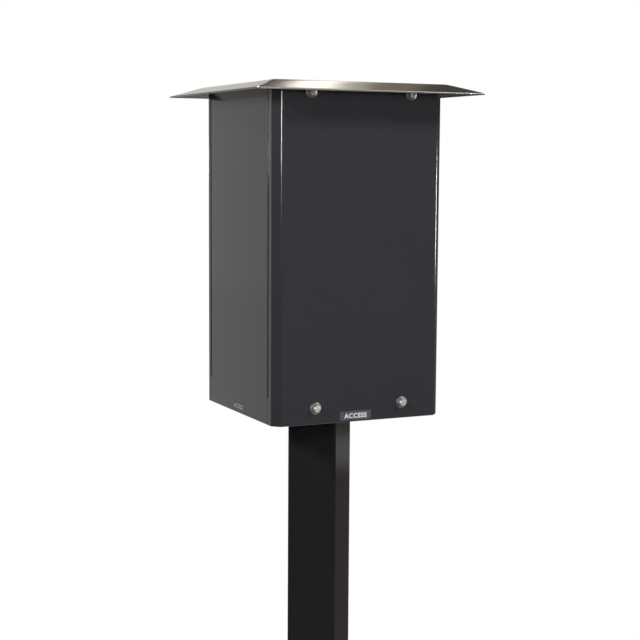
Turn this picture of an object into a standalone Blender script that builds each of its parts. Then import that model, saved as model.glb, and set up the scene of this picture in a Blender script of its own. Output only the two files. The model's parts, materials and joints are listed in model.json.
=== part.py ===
"""A keypad access reader on a post: a sheet-metal housing under a rain roof, turned 45 degrees on
a square floor post. The service cover faces -Y and the keypad reader faces +Y. The origin is on
the floor, on the axis of the post. Metres, +Z up."""

import math

import bmesh
import bpy
from mathutils import Matrix, Vector

# Driving dimensions, in metres.
GAP = 0.0003                # left between pieces that touch
SHEET = 0.002               # wall of every folded sheet

POST_SIDE = 0.080
POST_WALL = 0.003
POST_CORNER = 0.006
POST_TURN = math.radians(45)
BASE_SIDE = 0.240
BASE_THICK = 0.010
BASE_CORNER = 0.012
ANCHOR_PITCH = 0.180
ANCHOR_RADIUS = 0.007

HALF = 0.140                # half the housing's width and depth
FLOOR = 0.800               # lower edge of the housing
WALL_TOP = FLOOR + 0.503
CHAMFER = 0.011             # leg of the folded corner
BEND = 0.003                # outer radius of a fold
FRONT_SLIT = -0.1155        # middle of each vertical slit
REAR_SLIT = 0.118
SLIT = 0.0035
SLIT_FOOT = FLOOR + 0.041
SEAM = 0.0004               # hairline joint below a slit

ROOF_TOP = FLOOR + 0.508
ROOF_DROP = 0.0145
ROOF_FLAT = (0.142, 0.142)
ROOF_EAVE = (0.186, 0.186)

SCREW_PLACES = ((-0.0825, 0.491), (0.0825, 0.491), (-0.0725, 0.024), (0.0725, 0.024))
M6_RADIUS = 0.003
M6_HEAD_RADIUS = 0.005
M6_HEAD = 0.006
M6_KEY = 0.005              # across the flats of its socket
M6_REACH = 0.016
WASHER_RADIUS = 0.009
WASHER_THICK = 0.0016

FRAME_FACE = HALF - 0.005   # front of each inner frame
FRAME_SIDE = 0.126
FRAME_LEG = 0.039
FRAME_LOW = FLOOR + 0.0053
FRAME_HIGH = FLOOR + 0.500
GASKET = 0.0024

PAN_LOW = FLOOR + 0.003
FLANGE_RADIUS = 0.085
FLANGE_THICK = 0.006
FLANGE_HOLE = 0.030
SPIGOT_WALL = 0.0036
SWIVEL_BOLTS = 3
SWIVEL_CIRCLE = 0.065
SWIVEL_SWING = math.radians(45)
M8_RADIUS = 0.004

READER_Z = 1.060
BEZEL = (0.048, 0.090)      # half width, half height
BEZEL_THICK = 0.008
READER_CUTOUT = (0.042, 0.078)
KEY_PITCH = 0.021
KEY_SIDE = 0.0154
KEY_CORNER = 0.003
KEY_PROUD = 0.0018
TOP_ROW = 0.0               # height of the top row of keys above READER_Z
LIGHT = (0.040, 0.005, 0.018)       # width, height, height above READER_Z
WINDOW = (0.064, 0.044, 0.050)
READER_SCREW_Z = 0.084
KEY_NAMES = (("key_1", "key_2", "key_3"), ("key_4", "key_5", "key_6"),
             ("key_7", "key_8", "key_9"), ("key_star", "key_0", "key_hash"))

PLATE_FACE = 0.028          # front of the mounting plate
RAIL_Z = 1.150
MODULES = (("power_supply", -0.096, -0.024), ("controller_module", -0.022, 0.050),
           ("relay_module", 0.052, 0.070), ("terminal_block", 0.072, 0.098))
MODULE_DEPTH = 0.056
TAMPER_PLACE = (0.1175, 1.115)      # (x, z) of the tamper switch's plunger


def clear_scene():
    for thing in list(bpy.data.objects):
        bpy.data.objects.remove(thing, do_unlink=True)


def finish_of(name, colour, roughness, metallic):
    paint = bpy.data.materials.new(name)
    paint.use_nodes = True
    shader = paint.node_tree.nodes["Principled BSDF"]
    shader.inputs["Base Color"].default_value = (*colour, 1.0)
    shader.inputs["Roughness"].default_value = roughness
    shader.inputs["Metallic"].default_value = metallic
    return paint


clear_scene()
COAT = finish_of("powder_coat", (0.045, 0.047, 0.052), 0.38, 0.0)
POST_COAT = finish_of("post_coat", (0.018, 0.018, 0.019), 0.32, 0.0)
STAINLESS = finish_of("brushed_stainless", (0.60, 0.58, 0.55), 0.28, 1.0)
FASTENER = finish_of("fastener_steel", (0.55, 0.55, 0.54), 0.22, 1.0)
ZINC = finish_of("zinc_steel", (0.50, 0.51, 0.52), 0.42, 1.0)
RUBBER = finish_of("rubber", (0.015, 0.015, 0.015), 0.80, 0.0)
PLASTIC = finish_of("black_plastic", (0.025, 0.025, 0.027), 0.45, 0.0)
GREY_PLASTIC = finish_of("grey_plastic", (0.35, 0.36, 0.37), 0.50, 0.0)
KEY_METAL = finish_of("key_metal", (0.52, 0.51, 0.49), 0.30, 1.0)
BOARD = finish_of("circuit_board", (0.02, 0.13, 0.06), 0.45, 0.0)
LENS = finish_of("lens", (0.55, 0.60, 0.62), 0.15, 0.0)


# Outlines, as lists of (u, v).

def arc(centre, radius, start, end, steps):
    """Points on a circle from one angle to another, both ends included."""
    turns = [start + (end - start) * i / steps for i in range(steps + 1)]
    return [(centre[0] + radius * math.cos(t), centre[1] + radius * math.sin(t)) for t in turns]


def rounded(half_u, half_v, radius, steps=3, centre=(0.0, 0.0)):
    """A rectangle with round corners, anticlockwise."""
    points = []
    for corner, (su, sv) in enumerate(((1, 1), (-1, 1), (-1, -1), (1, -1))):
        middle = (centre[0] + su * (half_u - radius), centre[1] + sv * (half_v - radius))
        start = corner * math.pi / 2
        points += arc(middle, radius, start, start + math.pi / 2, steps)
    return points


def rectangle(low_u, high_u, low_v, high_v):
    return [(low_u, low_v), (high_u, low_v), (high_u, high_v), (low_u, high_v)]


def circle(radius, sides, centre=(0.0, 0.0)):
    return arc(centre, radius, 0, 2 * math.pi * (1 - 1 / sides), sides - 1)


def filleted(path, radius, steps=5):
    """An open path whose inner corners become arcs of this radius."""
    points = [Vector(path[0])]
    for before, corner, after in zip(path, path[1:], path[2:]):
        before, corner, after = Vector(before), Vector(corner), Vector(after)
        back, on = (before - corner).normalized(), (after - corner).normalized()
        half = back.angle(on) / 2
        middle = corner + (back + on).normalized() * radius / math.sin(half)
        first = corner + back * radius / math.tan(half) - middle
        last = corner + on * radius / math.tan(half) - middle
        sweep = first.angle_signed(last)
        points += [middle + Matrix.Rotation(-sweep * i / steps, 2) @ first for i in range(steps + 1)]
    points.append(Vector(path[-1]))
    return points


def folded(path, thick, radius=BEND):
    """The outline of a sheet folded along an open path, its thickness to the path's left."""
    outer = filleted(path, radius)
    inner = []
    for i, point in enumerate(outer):
        into = point - outer[i - 1] if i else outer[1] - point
        out = outer[i + 1] - point if i + 1 < len(outer) else into
        left = [Vector((-d.y, d.x)).normalized() for d in (into, out)]
        mitre = (left[0] + left[1]).normalized()
        inner.append(point + mitre * thick / mitre.dot(left[0]))
    return outer + inner[::-1]


# Solids.

AXES = {
    "Z": Matrix.Identity(4),
    "X": Matrix(((0, 0, 1, 0), (1, 0, 0, 0), (0, 1, 0, 0), (0, 0, 0, 1))),     # (u, v) is (y, z)
    "Y": Matrix(((1, 0, 0, 0), (0, 0, 1, 0), (0, 1, 0, 0), (0, 0, 0, 1))),     # (u, v) is (x, z)
}


def to_mesh(name, shape):
    bmesh.ops.recalc_face_normals(shape, faces=shape.faces)
    mesh = bpy.data.meshes.new(name)
    shape.to_mesh(mesh)
    shape.free()
    return mesh


def add_prism(shape, outline, low, high, axis="Z"):
    """Extrudes an outline along an axis into the bmesh."""
    corners = [shape.verts.new(AXES[axis] @ Vector((u, v, low))) for u, v in outline]
    face = shape.faces.new(corners)
    raised = bmesh.ops.extrude_face_region(shape, geom=[face])["geom"]
    lift = (AXES[axis] @ Vector((0, 0, high - low, 0))).xyz
    bmesh.ops.translate(shape, verts=[v for v in raised if isinstance(v, bmesh.types.BMVert)], vec=lift)


def add_turned(shape, profile, centre, axis="Z", sides=20):
    """Spins a (radius, height) profile about an axis through a centre. The profile is closed, or
    starts and ends on the axis."""
    corners = [shape.verts.new((r, 0, h)) for r, h in profile]
    pairs = list(zip(corners, corners[1:]))
    if profile[0][0] > 0:
        pairs.append((corners[-1], corners[0]))
    edges = [shape.edges.new(pair) for pair in pairs]
    bmesh.ops.spin(shape, geom=corners + edges, axis=(0, 0, 1), cent=(0, 0, 0),
                   angle=2 * math.pi, steps=sides, use_merge=True)
    bmesh.ops.remove_doubles(shape, verts=shape.verts, dist=1e-6)
    place = Matrix.Translation(centre) @ AXES[axis]
    bmesh.ops.transform(shape, matrix=place, verts=shape.verts)


def node(name, shape, paint, bevel=0.0, bevel_steps=1):
    """Makes the bmesh a named object, with an optional bevel on its sharp edges."""
    thing = bpy.data.objects.new(name, to_mesh(name, shape))
    thing.data.materials.append(paint)
    bpy.context.scene.collection.objects.link(thing)
    if bevel:
        edge = thing.modifiers.new("edge", "BEVEL")
        edge.width = bevel
        edge.segments = bevel_steps
        edge.limit_method = "ANGLE"
        edge.angle_limit = math.radians(50)
    return thing


def prism(name, outline, low, high, axis, paint, bevel=0.0):
    shape = bmesh.new()
    add_prism(shape, outline, low, high, axis)
    return node(name, shape, paint, bevel)


def turned(name, profile, centre, axis, paint, sides=20):
    shape = bmesh.new()
    add_turned(shape, profile, centre, axis, sides)
    thing = node(name, shape, paint)
    thing.data.shade_smooth()
    thing.data.set_sharp_from_angle(angle=math.radians(35))
    return thing


def cut(thing, cutters):
    """Cuts a list of (outline, low, high, axis) prisms, which stay clear of one another."""
    shape = bmesh.new()
    for outline, low, high, axis in cutters:
        add_prism(shape, outline, low, high, axis)
    tool = bpy.data.objects.new(thing.name + "_cutter", to_mesh(thing.name + "_cutter", shape))
    bpy.context.scene.collection.objects.link(tool)
    tool.matrix_world = thing.matrix_world.copy()
    tool.hide_render = True
    tool.display_type = "WIRE"
    hole = thing.modifiers.new("holes", "BOOLEAN")
    hole.operation = "DIFFERENCE"
    hole.solver = "EXACT"
    hole.object = tool


def turn(thing, angle):
    thing.rotation_euler.z = angle
    bpy.context.view_layer.update()
    return thing


def screw_holes(places, radius, near, far):
    """Round cutters along Y at (x, z) places."""
    low, high = sorted((near, far))
    return [(circle(radius, 16, place), low, high, "Y") for place in places]


# The post, which stands still.

def base_plate():
    half = BASE_SIDE / 2
    plate = prism("base_plate", rounded(half, half, BASE_CORNER, 4), 0, BASE_THICK, "Z", POST_COAT)
    turn(plate, POST_TURN)
    holes = [(circle(FLANGE_HOLE, 32), -0.01, 0.02, "Z")]
    for x in (-ANCHOR_PITCH / 2, ANCHOR_PITCH / 2):
        for y in (-ANCHOR_PITCH / 2, ANCHOR_PITCH / 2):
            holes.append((circle(ANCHOR_RADIUS, 20, (x, y)), -0.01, 0.02, "Z"))
    cut(plate, holes)


def post_tube():
    half = POST_SIDE / 2
    low, high = BASE_THICK + GAP, PAN_LOW - FLANGE_THICK - 2 * GAP
    tube = prism("post_tube", rounded(half, half, POST_CORNER, 4), low, high, "Z", POST_COAT)
    turn(tube, POST_TURN)
    inner = rounded(half - POST_WALL, half - POST_WALL, POST_CORNER - POST_WALL, 4)
    cut(tube, [(inner, low - 0.01, high + 0.01, "Z")])


def swivel_angles():
    return [math.pi / 2 + i * 2 * math.pi / SWIVEL_BOLTS for i in range(SWIVEL_BOLTS)]


def swivel_flange():
    high = PAN_LOW - GAP
    low = high - FLANGE_THICK
    flange = prism("swivel_flange", circle(FLANGE_RADIUS, 48), low, high, "Z", POST_COAT)
    slot_half = M8_RADIUS + 0.0006
    holes = [(circle(FLANGE_HOLE, 32), low - 0.01, high + 0.01, "Z")]
    for angle in swivel_angles():
        first, last = angle - SWIVEL_SWING, angle + SWIVEL_SWING
        end = (SWIVEL_CIRCLE * math.cos(last), SWIVEL_CIRCLE * math.sin(last))
        start = (SWIVEL_CIRCLE * math.cos(first), SWIVEL_CIRCLE * math.sin(first))
        outline = arc((0, 0), SWIVEL_CIRCLE + slot_half, first, last, 16)
        outline += arc(end, slot_half, last, last + math.pi, 6)[1:-1]
        outline += arc((0, 0), SWIVEL_CIRCLE - slot_half, last, first, 16)
        outline += arc(start, slot_half, first + math.pi, first + 2 * math.pi, 6)[1:-1]
        holes.append((outline, low - 0.01, high + 0.01, "Z"))
    cut(flange, holes)


# The housing that turns on the post.

def swivel_parts():
    """The ring, bolts and spigot that hold the housing to the flange and guide it."""
    under = PAN_LOW - 2 * GAP - FLANGE_THICK
    ring = prism("clamp_ring", circle(SWIVEL_CIRCLE + 0.011, 48), under - 0.006, under, "Z", ZINC)
    holes = [(circle(SWIVEL_CIRCLE - 0.009, 40), under - 0.01, under + 0.01, "Z")]
    for i, angle in enumerate(swivel_angles()):
        x, y = SWIVEL_CIRCLE * math.cos(angle), SWIVEL_CIRCLE * math.sin(angle)
        holes.append((circle(M8_RADIUS + GAP, 16, (x, y)), under - 0.01, under + 0.01, "Z"))
        seat = PAN_LOW + SHEET + GAP
        head = [(0, under - 0.008), (M8_RADIUS, under - 0.008), (M8_RADIUS, seat),
                (0.0065, seat), (0.0065, seat + 0.008), (0, seat + 0.008)]
        turned(f"swivel_bolt_{i + 1}", head, (x, y, 0), "Z", FASTENER, 16)
    cut(ring, holes)
    outer = FLANGE_HOLE - 0.0004
    tube = [(outer - SPIGOT_WALL, under + 0.001), (outer, under + 0.001),
            (outer, PAN_LOW + SHEET), (outer - SPIGOT_WALL, PAN_LOW + SHEET)]
    turned("centre_spigot", tube, (0, 0, 0), "Z", ZINC, 32)


def floor_pan():
    side = HALF - SHEET - 0.0006
    path = [(side, PAN_LOW + 0.016), (side, PAN_LOW), (-side, PAN_LOW), (-side, PAN_LOW + 0.016)]
    reach = HALF - CHAMFER - 0.003
    pan = prism("floor_pan", folded(path[::-1], SHEET), -reach, reach, "Y", COAT)
    holes = [(circle(FLANGE_HOLE - 0.0001, 32), PAN_LOW - 0.01, PAN_LOW + 0.01, "Z")]
    for angle in swivel_angles():
        place = (SWIVEL_CIRCLE * math.cos(angle), SWIVEL_CIRCLE * math.sin(angle))
        holes.append((circle(M8_RADIUS + 0.0004, 16, place), PAN_LOW - 0.01, PAN_LOW + 0.01, "Z"))
    cut(pan, holes)


def side_panels():
    """Flat walls, narrower above the foot so that a slit stands open at each end."""
    front, rear = FRONT_SLIT - SLIT / 2, REAR_SLIT + SLIT / 2
    outline = [(front + SEAM, FLOOR), (rear - SEAM, FLOOR), (rear - SEAM, SLIT_FOOT),
               (rear - SLIT, SLIT_FOOT), (rear - SLIT, WALL_TOP), (front + SLIT, WALL_TOP),
               (front + SLIT, SLIT_FOOT), (front + SEAM, SLIT_FOOT)]
    prism("left_side_panel", outline, -HALF, -HALF + SHEET, "X", COAT)
    prism("right_side_panel", outline, HALF - SHEET, HALF, "X", COAT)


def wrap_outline(side, end):
    """A closing panel in plan: flat face, two chamfered corners and two short returns.
    side is -1 for the front and 1 for the rear, end is the return's distance from the middle."""
    near = HALF - CHAMFER
    path = [(-HALF, side * end), (-HALF, side * near), (-near, side * HALF),
            (near, side * HALF), (HALF, side * near), (HALF, side * end)]
    return folded(path if side < 0 else path[::-1], SHEET)


def inner_frame(name, side, screws):
    """A frame behind a closing panel: a web with a window, and a leg behind each slit."""
    face = side * FRAME_FACE
    back = side * (FRAME_FACE - FRAME_LEG)
    path = [(-FRAME_SIDE, back), (-FRAME_SIDE, face), (FRAME_SIDE, face), (FRAME_SIDE, back)]
    outline = folded(path if side < 0 else path[::-1], SHEET)
    frame = prism(name, outline, FRAME_LOW, FRAME_HIGH, "Z", COAT)
    low, high = sorted((face - side * 0.02, face + side * 0.01))
    window = rectangle(-0.098, 0.098, FLOOR + 0.041, FLOOR + 0.471)
    cut(frame, [(window, low, high, "Y")] + screws)


def gasket_ring(name, side):
    near, far = sorted((side * (HALF - SHEET - GAP), side * (HALF - SHEET - GAP - GASKET)))
    ring = prism(name, rounded(0.110, 0.227, 0.006, 3, (0, FLOOR + 0.256)), near, far, "Y", RUBBER)
    inner = rounded(0.100, 0.217, 0.003, 2, (0, FLOOR + 0.256))
    cut(ring, [(inner, near - 0.01, far + 0.01, "Y")])


def front_closure():
    places = [(x, FLOOR + z) for x, z in SCREW_PLACES]
    cover = prism("front_cover", wrap_outline(-1, -(FRONT_SLIT - SLIT / 2)), FLOOR, WALL_TOP,
                  "Z", COAT)
    cut(cover, screw_holes(places, M6_RADIUS + 0.0005, -HALF - 0.01, -HALF + 0.01))
    plunger = (circle(0.0032, 16, TAMPER_PLACE), -FRAME_FACE - 0.01, -FRAME_FACE + 0.01, "Y")
    inner_frame("front_frame", -1,
                screw_holes(places, M6_RADIUS + 0.0005, -FRAME_FACE - 0.01, -FRAME_FACE + 0.01)
                + [plunger])
    gasket_ring("cover_gasket", -1)
    for i, (x, z) in enumerate(places):
        cover_screw(i + 1, x, z)


def cover_screw(number, x, z):
    """An M6 socket-head screw on a wide washer."""
    face = -HALF - GAP
    inner, dish = M6_RADIUS + 0.0004, 0.0002
    ring = [(inner, 0), (WASHER_RADIUS, 0), (WASHER_RADIUS, WASHER_THICK - dish),
            (WASHER_RADIUS - dish, WASHER_THICK), (inner, WASHER_THICK)]
    turned(f"cover_washer_{number}", [(r, face - h) for r, h in ring], (x, 0, z), "Y", FASTENER, 28)
    seat = face - WASHER_THICK - GAP
    top, soft = seat - M6_HEAD, 0.0005
    body = [(0, seat + M6_REACH), (M6_RADIUS, seat + M6_REACH), (M6_RADIUS, seat),
            (M6_HEAD_RADIUS, seat), (M6_HEAD_RADIUS, top + soft), (M6_HEAD_RADIUS - soft, top), (0, top)]
    screw = turned(f"cover_screw_{number}", body, (x, 0, z), "Y", FASTENER, 24)
    socket = circle(M6_KEY / math.sqrt(3), 6, (x, z))
    cut(screw, [(socket, top - 0.002, top + 0.003, "Y")])


def roof():
    """A flat-topped hat with four sloping rims, open underneath."""
    shape = bmesh.new()
    (fx, fy), (ex, ey) = ROOF_FLAT, ROOF_EAVE
    low, inset = ROOF_TOP - ROOF_DROP, SHEET * 0.3
    loops = [(fx, fy, ROOF_TOP), (ex, ey, low), (ex - inset, ey - inset, low - SHEET * 0.9),
             (fx - inset, fy - inset, ROOF_TOP - SHEET)]
    rings = []
    for half_x, half_y, z in loops:
        corners = ((1, 1), (-1, 1), (-1, -1), (1, -1))
        rings.append([shape.verts.new((sx * half_x, sy * half_y, z)) for sx, sy in corners])
    shape.faces.new(rings[0])
    shape.faces.new(rings[-1])
    for upper, lower in zip(rings, rings[1:]):
        for i in range(4):
            j = (i + 1) % 4
            shape.faces.new((upper[i], upper[j], lower[j], lower[i]))
    node("roof", shape, STAINLESS)


def top_pan():
    side, low = FRAME_SIDE - SHEET - 0.0006, FLOOR + 0.498
    high = ROOF_TOP - SHEET - GAP
    path = [(-side, high), (-side, low), (side, low), (side, high)]
    reach = FRAME_FACE - SHEET - 0.0006
    prism("top_pan", folded(path, SHEET), -reach, reach, "Y", COAT)


# The reader in the rear panel.

def reader_places():
    """Each key's name with its (x, z): rows go down, and a viewer of the +Y face sees +X left."""
    return [(name, (KEY_PITCH * (1 - column), READER_Z + TOP_ROW - KEY_PITCH * row))
            for row, names in enumerate(KEY_NAMES) for column, name in enumerate(names)]


def reader_screw_places():
    return [(0.0, READER_Z - READER_SCREW_Z), (0.0, READER_Z + READER_SCREW_Z)]


def rear_closure():
    panel = prism("reader_panel", wrap_outline(1, REAR_SLIT + SLIT / 2), FLOOR, WALL_TOP,
                  "Z", COAT)
    hole = rounded(*READER_CUTOUT, 0.004, 2, (0, READER_Z))
    cut(panel, [(hole, HALF - 0.01, HALF + 0.01, "Y")]
        + screw_holes(reader_screw_places(), 0.0024, HALF - 0.01, HALF + 0.01))
    inner_frame("rear_frame", 1, [])
    gasket_ring("rear_gasket", 1)


def reader_shell():
    seat = HALF + GAP
    ring = prism("reader_gasket", rounded(0.0465, 0.0885, 0.006, 3, (0, READER_Z)),
                 seat, seat + 0.001, "Y", RUBBER)
    inner = rounded(READER_CUTOUT[0] + 0.001, READER_CUTOUT[1] + 0.001, 0.004, 2, (0, READER_Z))
    cut(ring, [(inner, seat - 0.01, seat + 0.01, "Y")]
        + screw_holes(reader_screw_places(), 0.0024, seat - 0.01, seat + 0.01))

    back = seat + 0.001 + GAP
    face = back + BEZEL_THICK
    bezel = prism("reader_bezel", rounded(*BEZEL, 0.008, 4, (0, READER_Z)), back, face, "Y",
                  STAINLESS, 0.0012)
    holes = []
    for _, place in reader_places():
        half = KEY_SIDE / 2 + GAP
        holes.append((rounded(half, half, KEY_CORNER, 2, place), back - 0.01, face + 0.01, "Y"))
    for width, height, up in (LIGHT, WINDOW):
        hole = rounded(width / 2, height / 2, 0.0024, 3, (0, READER_Z + up))
        holes.append((hole, back - 0.01, face + 0.01, "Y"))
    cut(bezel, holes + screw_holes(reader_screw_places(), 0.0024, back - 0.01, face + 0.01))

    for name, (width, height, up), paint, proud in (("status_light_lens", LIGHT, LENS, 0.0003),
                                                    ("proximity_window", WINDOW, PLASTIC, 0.0005)):
        outline = rounded(width / 2 - GAP, height / 2 - GAP, 0.0024 - GAP, 3, (0, READER_Z + up))
        prism(name, outline, back + GAP, face + proud, "Y", paint, 0.0002)
    for label, (x, z) in zip(("lower", "upper"), reader_screw_places()):
        head = [(0, HALF - 0.006), (0.002, HALF - 0.006), (0.002, face + GAP), (0.0038, face + GAP),
                (0.0034, face + 0.0016), (0.0022, face + 0.0024), (0, face + 0.0026)]
        turned(f"reader_screw_{label}", head, (x, 0, z), "Y", FASTENER, 16)
    return back, face


def keys(back, face):
    """Twelve caps, each with a flange behind the bezel that keeps it in."""
    for name, (x, z) in reader_places():
        shape = bmesh.new()
        half = KEY_SIDE / 2
        front = face + KEY_PROUD
        add_prism(shape, rounded(half, half, KEY_CORNER, 2), back - 0.0007, front, "Y")
        cap = node(name, shape, KEY_METAL, 0.0006)
        flange = bmesh.new()
        add_prism(flange, rounded(half + 0.0015, half + 0.0015, KEY_CORNER, 2),
                  back - 0.0027, back - 0.0006, "Y")
        tool = bpy.data.objects.new(name + "_flange", to_mesh(name + "_flange", flange))
        bpy.context.scene.collection.objects.link(tool)
        tool.hide_render = True
        tool.display_type = "WIRE"
        for thing in (cap, tool):
            thing.location = (x, 0, z)
        join = cap.modifiers.new("flange", "BOOLEAN")
        join.operation = "UNION"
        join.solver = "EXACT"
        join.object = tool


def reader_inside(back):
    half_x, half_z = READER_CUTOUT[0] - 0.001, READER_CUTOUT[1] - 0.001
    low, rim = 0.098, back - 0.0003
    box = prism("reader_back_box", rounded(half_x, half_z, 0.003, 2, (0, READER_Z)),
                low, rim, "Y", PLASTIC)
    room = rounded(half_x - SHEET, half_z - SHEET, 0.001, 2, (0, READER_Z))
    cut(box, [(room, low + SHEET, rim + 0.01, "Y"),
              (circle(0.004, 16, (0, READER_Z - 0.040)), low - 0.01, low + 0.0015, "Y")])
    mat_face = back - 0.0027 - 0.0018
    middle = READER_Z + TOP_ROW - 1.5 * KEY_PITCH
    mat = prism("keypad_mat", rounded(0.034, 0.043, 0.003, 3, (0, middle)),
                mat_face - 0.0015, mat_face, "Y", RUBBER)
    cut(mat, [(circle(0.0015, 12, (side * KEY_PITCH / 2, middle + rise * KEY_PITCH)),
               mat_face - 0.01, mat_face + 0.01, "Y") for side in (-1, 1) for rise in (-1, 0, 1)])
    board_face = mat_face - 0.0015 - GAP
    board = rectangle(-0.0375, 0.0375, READER_Z - 0.074, READER_Z + 0.074)
    prism("reader_board", board, board_face - 0.0016, board_face, "Y", BOARD)
    sounder = board_face - 0.0016 - GAP
    can = [(0.001, sounder), (0.006, sounder), (0.006, sounder - 0.008), (0.001, sounder - 0.008)]
    turned("buzzer", can, (0.020, 0, READER_Z + 0.040), "Y", PLASTIC, 20)


# The equipment inside.

def equipment():
    foot = PAN_LOW + SHEET + GAP
    path = [(PLATE_FACE + 0.022, foot), (PLATE_FACE, foot), (PLATE_FACE, FLOOR + 0.450)]
    plate = prism("mounting_plate", folded(path[::-1], SHEET), -0.110, 0.110, "X", ZINC)
    cut(plate, [(circle(0.006, 16, (0, READER_Z - 0.040)), PLATE_FACE - 0.01, PLATE_FACE + 0.01, "Y")])

    deep, wall = 0.0075, 0.001
    front = PLATE_FACE - GAP - deep
    hat = [(front, RAIL_Z - 0.0175), (front, RAIL_Z - 0.0125), (front + deep, RAIL_Z - 0.0125),
           (front + deep, RAIL_Z + 0.0125), (front, RAIL_Z + 0.0125), (front, RAIL_Z + 0.0175)]
    prism("din_rail", folded(hat, wall, 0.0016), -0.100, 0.100, "X", ZINC)

    low_y, rail_gap = front - GAP - MODULE_DEPTH, front - GAP - wall
    for name, low_x, high_x in MODULES:
        shoulder, nose, half = 0.014, 0.0225, 0.045
        outline = [(rail_gap, RAIL_Z - half), (rail_gap, RAIL_Z + half),
                   (low_y + shoulder, RAIL_Z + half), (low_y + shoulder, RAIL_Z + nose),
                   (low_y, RAIL_Z + nose), (low_y, RAIL_Z - nose),
                   (low_y + shoulder, RAIL_Z - nose), (low_y + shoulder, RAIL_Z - half)]
        prism(name, outline, low_x, high_x, "X", GREY_PLASTIC, 0.0008)


def reader_harness():
    """The cable from the reader, through the mounting plate, up to the controller module."""
    start = READER_Z - 0.040
    end = RAIL_Z - 0.045 - GAP
    route = [(0, 0.0977, start), (0, 0.080, start), (0, 0.060, start - 0.004), (0, 0.040, start),
             (0, 0.015, start), (0.001, 0.000, start + 0.010), (0.006, -0.008, start + 0.035),
             (0.014, -0.010, start + 0.065), (0.014, -0.010, end)]
    line = bpy.data.curves.new("reader_harness", "CURVE")
    line.dimensions = "3D"
    line.bevel_depth = 0.003
    line.bevel_resolution = 2
    line.use_fill_caps = True
    smooth = smooth_points([Vector(p) for p in route], 3)
    spline = line.splines.new("POLY")
    spline.points.add(len(smooth) - 1)
    for point, place in zip(spline.points, smooth):
        point.co = (*place, 1)
    cable = bpy.data.objects.new("reader_harness", line)
    line.materials.append(PLASTIC)
    bpy.context.scene.collection.objects.link(cable)


def smooth_points(route, steps):
    """A Catmull-Rom curve through the route's points."""
    points = []
    padded = [2 * route[0] - route[1], *route, 2 * route[-1] - route[-2]]
    for a, b, c, d in zip(padded, padded[1:], padded[2:], padded[3:]):
        for i in range(steps):
            t = i / steps
            points.append(0.5 * (2 * b + (c - a) * t + (2 * a - 5 * b + 4 * c - d) * t * t
                                 + (3 * b - a - 3 * c + d) * t ** 3))
    return points + [route[-1]]


def tamper_switch():
    """A switch beside the front window, its plunger held in by the closed cover."""
    x, z = TAMPER_PLACE
    front = -FRAME_FACE + SHEET + 0.002
    body = prism("tamper_switch", rectangle(x - 0.005, x + 0.0055, z - 0.014, z + 0.014),
                 front, front + 0.026, "Y", PLASTIC, 0.0006)
    cut(body, [(circle(0.0029, 16, TAMPER_PLACE), front - 0.01, front + 0.010, "Y")])
    tip = -HALF + SHEET + GAP
    stem = [(0, front + 0.007), (0.0025, front + 0.007), (0.0025, tip + 0.0012),
            (0.0015, tip), (0, tip)]
    turned("tamper_plunger", stem, (x, 0, z), "Y", GREY_PLASTIC, 16)


base_plate()
post_tube()
swivel_flange()
swivel_parts()
floor_pan()
side_panels()
front_closure()
roof()
top_pan()
rear_closure()
bezel_back, bezel_face = reader_shell()
keys(bezel_back, bezel_face)
reader_inside(bezel_back)
equipment()
reader_harness()
tamper_switch()
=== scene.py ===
import json
import math

import bmesh
import bpy
import numpy as np
from mathutils import Matrix, Vector

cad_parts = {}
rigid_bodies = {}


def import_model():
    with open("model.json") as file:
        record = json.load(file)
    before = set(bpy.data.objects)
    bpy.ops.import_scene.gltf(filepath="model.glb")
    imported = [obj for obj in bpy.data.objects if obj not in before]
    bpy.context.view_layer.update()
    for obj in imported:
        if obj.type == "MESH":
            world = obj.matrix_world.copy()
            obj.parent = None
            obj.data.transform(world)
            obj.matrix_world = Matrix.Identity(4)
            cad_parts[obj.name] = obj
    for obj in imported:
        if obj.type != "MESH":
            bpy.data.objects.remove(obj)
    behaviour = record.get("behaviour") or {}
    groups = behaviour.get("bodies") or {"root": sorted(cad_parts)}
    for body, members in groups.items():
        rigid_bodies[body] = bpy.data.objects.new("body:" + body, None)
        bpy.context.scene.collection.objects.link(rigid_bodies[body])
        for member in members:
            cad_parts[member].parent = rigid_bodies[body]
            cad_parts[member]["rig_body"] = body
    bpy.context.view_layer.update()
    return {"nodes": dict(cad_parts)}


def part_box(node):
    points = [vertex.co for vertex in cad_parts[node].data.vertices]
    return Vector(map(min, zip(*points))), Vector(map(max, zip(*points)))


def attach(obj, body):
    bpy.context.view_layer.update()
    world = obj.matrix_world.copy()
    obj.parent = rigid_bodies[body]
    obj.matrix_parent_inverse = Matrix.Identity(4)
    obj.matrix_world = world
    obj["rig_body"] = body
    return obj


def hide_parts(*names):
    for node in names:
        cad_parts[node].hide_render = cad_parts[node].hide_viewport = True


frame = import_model()


# ---- Studio ------------------------------------------------------------------------------------
# A white room with a pale round floor. Small softboxes on the left and high on the right light the
# coat; large dim panels and narrow strips round the sides and behind are what the gloss coat, the
# folds and the stainless roof reflect.

housing_low, housing_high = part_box("front_cover")


def aimed(place, target):
    """A matrix at a place, its -Z pointing at the target and its X level."""
    back = (Vector(place) - Vector(target)).normalized()
    right = Vector((0, 0, 1)).cross(back).normalized()
    up = back.cross(right)
    turned = Matrix((right, up, back)).transposed().to_4x4()
    return Matrix.Translation(place) @ turned


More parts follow.
